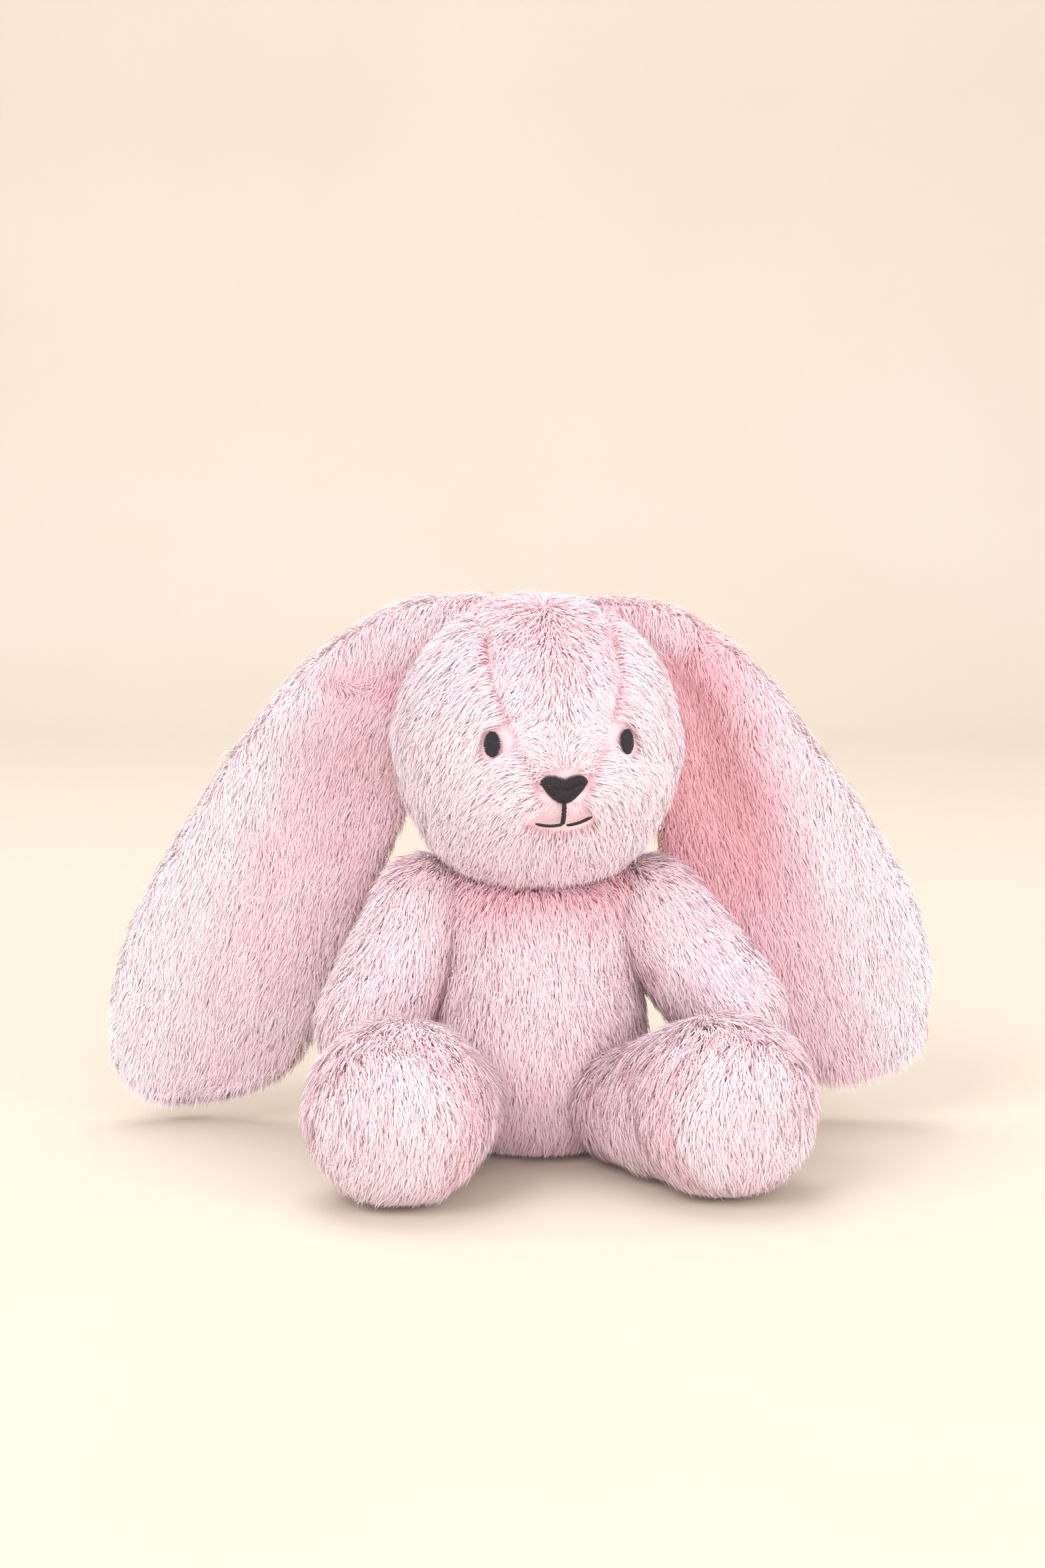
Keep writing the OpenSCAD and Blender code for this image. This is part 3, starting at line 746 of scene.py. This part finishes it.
def smooth_curve(knots, values, where):
    """A smooth curve through values at knots, without overshoot at the ends."""
    slope = np.gradient(values, knots)
    k = np.clip(np.searchsorted(knots, where, side="right") - 1, 0, len(knots) - 2)
    h = knots[k + 1] - knots[k]
    t = (where - knots[k]) / h
    a, b = 2 * t**3 - 3 * t**2 + 1, t**3 - 2 * t**2 + t
    c, d = -2 * t**3 + 3 * t**2, t**3 - t**2
    return a * values[k] + b * h * slope[k] + c * values[k + 1] + d * h * slope[k + 1]


NECK = joint_at("head_turn")
SEAT_ROWS = 10


def down(p, n):
    return np.broadcast_to(-UP, p.shape) + 0.0


def torso_tone(p, n):
    # Painted shade: the pile is deeper towards the bottom, where the body curves under behind the legs, and at the
    # neck under the chin. The side seams are deeper too.
    low = 1 - smooth(p[:, 2], 10 * MM, 48 * MM)
    neck_shade = smooth(p[:, 2], 84 * MM, 104 * MM)
    side = bump(p[:, 1], 7 * MM)
    return 0.20 * low + 0.45 * neck_shade + 0.35 * side


def make_torso():
    form = torso_form()
    quarter = np.arange(96)[:, None] // 24 + np.zeros((1, form.p.shape[1] - 1), int)
    seat = np.arange(form.p.shape[1] - 1)[None, :] < SEAT_ROWS + np.zeros_like(quarter)
    panels = {"torso_front": (quarter >= 2) & ~seat, "torso_back_left": (quarter == 0) & ~seat,
              "torso_back_right": (quarter == 1) & ~seat, "torso_base": seat}
    for k, (node, cells) in enumerate(panels.items()):
        place(panel(node + "_skin", form, cells, SKIN), "torso", "plush", node)
        if node != "torso_base":
            style = Pile(tone=0.30)
            place(pile(node + "_pile", form, cells, style, PILE, 200 + k, down, torso_tone, floor_length), "torso",
                  "plush")
    place(pile("torso_base_pile", form, panels["torso_base"], Pile(length=2.5 * MM, lean=84, pull=0.2), PILE, 210,
               length=floor_length), "torso", "plush")
    filling("torso_filling", form, "torso", SKIN_T + 0.6 * MM, "torso_stuffing")


def floor_length(p, n, tip):
    """Shorter where a strand would go through the surface that the rabbit sits on."""
    room = p[:, 2] - 0.3 * MM
    rise = n[:, 2] * np.linalg.norm(tip, axis=1) * 0.6
    drop = np.maximum(-tip[:, 2] * 0.87 - rise, 1e-6)
    return np.clip(room / drop, 0.06, 1.0)


def ball_form(at, r, rounds=48, rows=28):
    turn = np.arange(rounds)[:, None] / rounds * 2 * np.pi
    rise = np.linspace(-np.pi / 2, np.pi / 2, rows)[None, :]
    way = np.stack([np.cos(rise) * np.cos(turn), np.cos(rise) * np.sin(turn), np.sin(rise) + 0 * turn], axis=-1)
    return Form(np.asarray(at) + way * r)


def make_tail():
    low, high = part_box("tail_cover")
    r = (high[0] - low[0]) / 2
    at = np.array([0, high[1] - r, (low[2] + high[2]) / 2])
    form = ball_form(at, r - SKIN_IN)
    cells = form.everywhere()
    place(panel("tail_skin", form, cells, SKIN), "torso", "plush", "tail_cover")
    style = Pile(length=10 * MM, lean=38, stray=26, tone=0.10)
    place(pile("tail_pile", form, cells, style, PILE, 230, down, density=1.3), "torso", "plush")
    filling("tail_filling", form, "torso", SKIN_T + 0.6 * MM, "tail_stuffing")


# ---------------------------------------------------------------- arms and legs

def pod_form(pivot, axis, length, root_r, end_r, end_way, inward, rounds=72, cap_at=0.42, bulge=0.0):
    """A tapered limb with a round root. Its rings turn from its axis to end_way, so its pole is the end's middle.
    The first half of the round is the half that faces inward."""
    tangent = math.asin((root_r - end_r) / length)
    end_rows = 10
    rise_root = np.linspace(-math.pi / 2, tangent, 16)
    cap = math.asin(cap_at)
    rise_end = np.concatenate([np.linspace(tangent, cap, 14)[1:], np.linspace(cap, math.pi / 2, end_rows + 1)[1:]])
    tube_t = np.linspace(0, 1, 22)[1:-1]
    rows = [(root_r * math.cos(a), root_r * math.sin(a), 0.0, 0.0) for a in rise_root]
    r0, r1 = root_r * math.cos(tangent), end_r * math.cos(tangent)
    h0, h1 = root_r * math.sin(tangent), end_r * math.sin(tangent)
    rows += [(r0 + (r1 - r0) * t, h0 + (h1 - h0) * t, t, smooth(t, 0.1, 1.0)) for t in tube_t]
    rows += [(end_r * math.cos(a), end_r * math.sin(a), 1.0, 1.0) for a in rise_end]
    turn = np.arange(rounds) / rounds * 2 * np.pi
    made = []
    for r, h, t, bend in rows:
        way = unit(axis * (1 - bend) + np.asarray(end_way) * bend)
        b = unit(inward - way * (inward @ way))
        a = np.cross(b, way)
        swell = 1 + bulge * math.sin(math.pi * t)
        ring = np.cos(turn)[:, None] * a + np.sin(turn)[:, None] * b
        made.append(pivot + axis * length * t + way * h + ring * r * swell)
    return Form(np.stack(made, axis=1)), len(rows) - 1 - end_rows


def limb_panels(form, rows_total, first, second, body, slot, style, seed, comb, tone, length, nodes_end=None):
    half = form.p.shape[0] // 2
    around = np.arange(form.p.shape[0])[:, None] + np.zeros((1, form.p.shape[1] - 1), int)
    end = np.arange(form.p.shape[1] - 1)[None, :] >= rows_total + np.zeros_like(around)
    panels = {first: (around < half) & ~end, second: (around >= half) & ~end}
    if nodes_end:
        panels[nodes_end] = end
    for k, (node, cells) in enumerate(panels.items()):
        place(panel(node + "_skin", form, cells, SKIN), body, slot, node)
        place(pile(node + "_pile", form, cells, style, PILE, seed + k, comb, tone, length), body, slot)


def make_arm(side):
    name = "arm_" + SIDE_NAME[side]
    pivot = joint_at(name + "_swing")
    axis, length, root_r, end_r = pod_of(name + "_stuffing", pivot)
    inward = np.cross(axis, np.cross(axis, UP))
    form, _ = pod_form(pivot, axis, length, root_r + 2.4 * MM, end_r - SKIN_IN + 1.0 * MM, axis, inward, bulge=0.05)

    def comb(p, n):
        return axis + 0.5 * -UP + 0 * p

    def tone(p, n):
        # Painted shade: the pile is deeper on the side that faces the body and near the shoulder, where the arm meets
        # the torso.
        along = (p - pivot) @ axis
        inner = dot(n, np.array([-side, 0.2, 0.0]))
        return 0.25 * smooth(inner, 0.2, 0.9) + 0.10 * (1 - smooth(along, 0, 20 * MM))

    style = Pile(tone=0.24)
    limb_panels(form, 10**6, name + "_inner", name + "_outer", name, "plush", style, 300 + 10 * side, comb, tone,
                floor_length)
    filling(name + "_filling", form, name, SKIN_T + 0.6 * MM, name + "_stuffing")


SOLE_WAY = {LEFT: unit([0.33, -0.94, 0.06]), RIGHT: unit([-0.18, -0.98, 0.06])}


def make_leg(side):
    name = "leg_" + SIDE_NAME[side]
    pivot = joint_at(name + "_splay")
    axis, length, root_r, end_r = pod_of(name + "_stuffing", pivot)
    sole_way = SOLE_WAY[side]
    inward = side * np.cross(axis, UP)
    form, sole_row = pod_form(pivot, axis, length, root_r, end_r - SKIN_IN, sole_way, inward, rounds=96)
    foot_at = pivot + axis * length
    rim = (end_r - SKIN_IN) * 0.42
    height = dot(form.p - foot_at, sole_way)
    groove = 1.0 * MM * bump(height - rim, 2.2 * MM)
    flat = 2.4 * MM * smooth(height, rim, end_r) * smooth(height, rim + 1 * MM, rim + 9 * MM)
    form = Form(form.p - form.n * groove[..., None] - sole_way * flat[..., None])

    def comb(p, n):
        out = p - foot_at
        facing = smooth(dot(n, sole_way), 0.35, 0.6)[:, None]
        around = np.cross(sole_way, out) * side
        return (axis * 0.30 - UP) * (1 - facing) + (-UP + around / end_r * 0.5) * facing

    def tone(p, n):
        seam = bump(dot(p - foot_at, sole_way) - rim, 3.2 * MM)
        # Painted shade: the pile is deeper on the inner side, which faces the other leg.
        inner = smooth(dot(n, np.array([-side, 0.0, 0.0])), 0.3, 0.9)
        return 0.24 * seam + 0.16 * inner + 0.03

    style = Pile(tone=0.22)
    limb_panels(form, sole_row, name + "_inner", name + "_outer", name, "plush", style, 400 + 10 * side, comb, tone,
                floor_length, "foot_" + SIDE_NAME[side] + "_sole")
    filling(name + "_filling", form, name, SKIN_T + 0.6 * MM, name + "_stuffing")


# ---------------------------------------------------------------- ears

# Inner and outer edge of each ear's fabric, from the crown to the tip: distance from the middle, and height, in mm.
EAR_EDGES = {
    RIGHT: (((12, 204), (12, 211)), ((41, 193), (51, 208.5)), ((53.5, 168), (83, 191.5)), ((54.5, 131), (116, 155)),
            ((61, 114), (135, 127)), ((78, 76), (164, 72)), ((90, 47), (169, 43)), ((110, 23), (159, 18)),
            ((137, 11.5), (138, 11.5))),
    LEFT: (((12, 203), (12, 210)), ((41, 191), (53, 206.5)), ((52, 166), (82.5, 186.5)), ((51, 131), (114, 146.5)),
           ((51.5, 112), (129, 126)), ((62, 75), (152, 80.5)), ((73, 49), (155, 51)), ((94, 27), (142, 29)),
           ((116, 20), (117, 20))),
}


def ear_form(side):
    """A long flat leaf of two layers. The first half of the round is the lining, which faces the front."""
    root = joint_at("ear_" + SIDE_NAME[side] + "_lift")
    edges = np.array(EAR_EDGES[side], float) * MM
    knots = np.concatenate([[0], np.cumsum(np.linalg.norm(np.diff(edges.mean(1), axis=0), axis=1))])
    s = np.sin(np.linspace(0, np.pi / 2, 84))
    where = s * knots[-1]
    inner, outer = (np.stack([smooth_curve(knots, edges[:, e, k], where) for k in (0, 1)], axis=1) for e in (0, 1))
    middle, half = (inner + outer) / 2, (outer - inner) / 2
    # the last stretch closes as a round end
    closing = np.sqrt(np.clip(1 - (np.clip(s - 0.9, 0, 1) / 0.1) ** 2, 0, 1))
    at_close = np.array([np.interp(0.9, s, half[:, k]) for k in (0, 1)])
    half = np.where(s[:, None] > 0.9, at_close * closing[:, None], half)
    opening = smooth(s, -0.02, 0.05)
    rounds = 96
    angle = np.arange(rounds)[:, None] / rounds * 2 * np.pi
    q, face = np.cos(angle), np.sin(angle)
    x = middle[:, 0] + q * half[:, 0]
    z = middle[:, 1] + q * half[:, 1]
    thick = (1.0 * MM + 2.4 * MM * opening * closing) * np.abs(face) ** 0.6 * np.sign(face)
    back = 4.5 * MM * (1 - smooth(s, 0.08, 0.30))
    cup = -2.6 * MM * q**2 * smooth(s, 0.2, 0.45) + 1.3 * MM * np.sin(q * 2.2 + s * 9 + side)
    y = root[1] + back + cup + crease_of(side, s, q) - thick
    return Form(np.stack([side * x, y + 0 * x, z], axis=-1))


def crease_of(side, s, q):
    """The fold near the root: across the right ear, and along the left ear beside a hollow."""
    if side == RIGHT:
        return -3.2 * MM * bump(s - 0.34 - 0.04 * q, 0.045) + 2.2 * MM * bump(s - 0.42, 0.05)
    return (-2.6 * MM * bump(q - 0.30, 0.25) + 3.2 * MM * bump(q + 0.35, 0.35)) * bump(s - 0.45, 0.22)


def make_ear(side):
    name = "ear_" + SIDE_NAME[side]
    form = ear_form(side)
    rounds = form.p.shape[0]
    root = joint_at(name + "_lift")
    around = np.arange(rounds)[:, None] + np.zeros((1, form.p.shape[1] - 1), int)
    sides = {"lining": around < rounds // 2, "back": around >= rounds // 2}
    way = unit(form.p[:, -1].mean(0) - root)

    def parts(p):
        """Distance down the ear and across it. Across is positive on the outer side."""
        flat = p - root
        return flat @ way, side * (flat @ np.cross(FRONT, way))

    def fold(p):
        along, across = parts(p)
        return bump(along - 26 * MM - across * 0.25, 7 * MM) if side == RIGHT else bump(along - 12 * MM, 6 * MM)

    def comb(p, n):
        ruffle = fold(p)[:, None] * np.stack([noise(p, 6 * MM, 40 + k) for k in range(3)], axis=1) * 2.2
        return way - UP * 0.35 + ruffle

    def tone(p, n):
        # Painted shade: the lining is deeper down its hollow and in its fold. The left ear's lining, away from the key
        # light, is deeper all over. It is paler along the outer rim, partly from the outer fabric's own colour and
        # partly from painted rim light, and paler towards the tip.
        along, across = parts(p)
        high = 60 * MM if side == LEFT else 110 * MM
        inside = 1 - smooth(across, -6 * MM, 30 * MM)
        base, shade_depth = (0.34, 0.78) if side == LEFT else (0.13, 0.24)
        hollow = shade_depth * smooth(along, 8 * MM, 24 * MM) * (1 - smooth(along, 60 * MM, 170 * MM))
        rim = 0.30 * smooth(across, 16 * MM, 34 * MM)
        tip = 0.16 * smooth(along, high, high + 90 * MM) * smooth(across, -10 * MM, 20 * MM)
        return base + hollow * inside + 0.25 * fold(p) - rim - tip

    for k, (layer, cells) in enumerate(sides.items()):
        node = name + "_" + layer
        slot = "ear_lining" if layer == "lining" else "plush"
        covered = [node] + (["ear_root_" + SIDE_NAME[side]] if layer == "back" else [])
        skin = panel(node + "_skin", form, cells, SKIN, 0.8 * MM)
        hair = pile(node + "_pile", form, cells, Pile(length=8.5 * MM, lean=64, tone=0.12), PILE, 500 + 20 * side + k,
                    comb, tone if layer == "lining" else None, floor_length)
        for obj in (skin, hair):
            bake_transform(obj)
        finish_piece(skin, slot, *covered)
        finish_piece(hair, slot)


# ---------------------------------------------------------------- what the CAD nodes that stay are made of

def dress_nodes():
    materials = {"bean_bag": COTTON, "bean_fill": BEANS, "care_label": RIBBON}
    for name, obj in frame["nodes"].items():
        if name.endswith("thread"):
            material = THREAD_PINK
        else:
            material = materials.get(name)
        if material:
            obj.data.materials.clear()
            obj.data.materials.append(material)


# ---------------------------------------------------------------- studio

def area_light(name, at, aim, size, watts, colour):
    light = bpy.data.lights.new(name, "AREA")
    light.shape, light.size, light.energy, light.color = "DISK", size, watts, colour
    obj = bpy.data.objects.new(name, light)
    bpy.context.scene.collection.objects.link(obj)
    obj.location = at
    obj.rotation_euler = (Vector(aim) - Vector(at)).to_track_quat("-Z", "Y").to_euler()


def studio():
    """A pale floor that curves up into a backdrop, soft light from the left, and the camera."""
    material, tree, shader = principled("cream_paper", 0.95)
    tree.links.new(mixed(tree, noise_node(tree, 0.25, 5), (0.680, 0.598, 0.498), (0.715, 0.643, 0.548)),
                   shader.inputs["Base Color"])
    profile = [(-3.0, 0.0), (1.3, 0.0)]
    profile += [(1.3 + 0.6 * math.sin(a), 0.6 - 0.6 * math.cos(a)) for a in np.linspace(0.1, math.pi / 2, 16)]
    profile += [(1.9, 4.0)]
    points = [(x, y, z) for y, z in profile for x in (-4.0, 4.0)]
    faces = [[2 * i, 2 * i + 1, 2 * i + 3, 2 * i + 2] for i in range(len(profile) - 1)]
    floor = new_object("studio_floor", points, faces, material)

    aim = (0, 0, 0.11)
    area_light("key", (-1.3, -1.5, 1.7), aim, 1.6, 27, (1.0, 0.99, 0.99))
    area_light("fill", (1.6, -1.3, 0.9), aim, 1.6, 17, (0.98, 0.98, 1.0))
    area_light("low", (0.5, -1.7, 0.22), aim, 1.2, 12, (1.0, 0.98, 0.98))
    area_light("top", (-0.3, 0.5, 1.9), aim, 1.5, 19, (1.0, 1.0, 1.0))
    world = bpy.data.worlds.new("studio_air")
    bpy.context.scene.world = world
    world.use_nodes = True
    air = world.node_tree.nodes["Background"]
    air.inputs["Color"].default_value = (0.97, 0.97, 1.0, 1)
    air.inputs["Strength"].default_value = 0.84

    camera = bpy.data.cameras.new("camera")
    camera.lens, camera.sensor_width = 64.8, 36
    eye = bpy.data.objects.new("camera", camera)
    bpy.context.scene.collection.objects.link(eye)
    target = Vector((-0.006, 0, 0.1426))
    rise = math.radians(8)
    eye.location = target + Vector((0, -math.cos(rise), math.sin(rise))) * 1.1
    eye.rotation_euler = (target - eye.location).to_track_quat("-Z", "Y").to_euler()
    bpy.context.scene.camera = eye
    bpy.context.scene.view_settings.view_transform = "Standard"


make_head()
make_embroidery()
make_torso()
make_tail()
for side in (LEFT, RIGHT):
    make_arm(side)
    make_leg(side)
    make_ear(side)
dress_nodes()
studio()
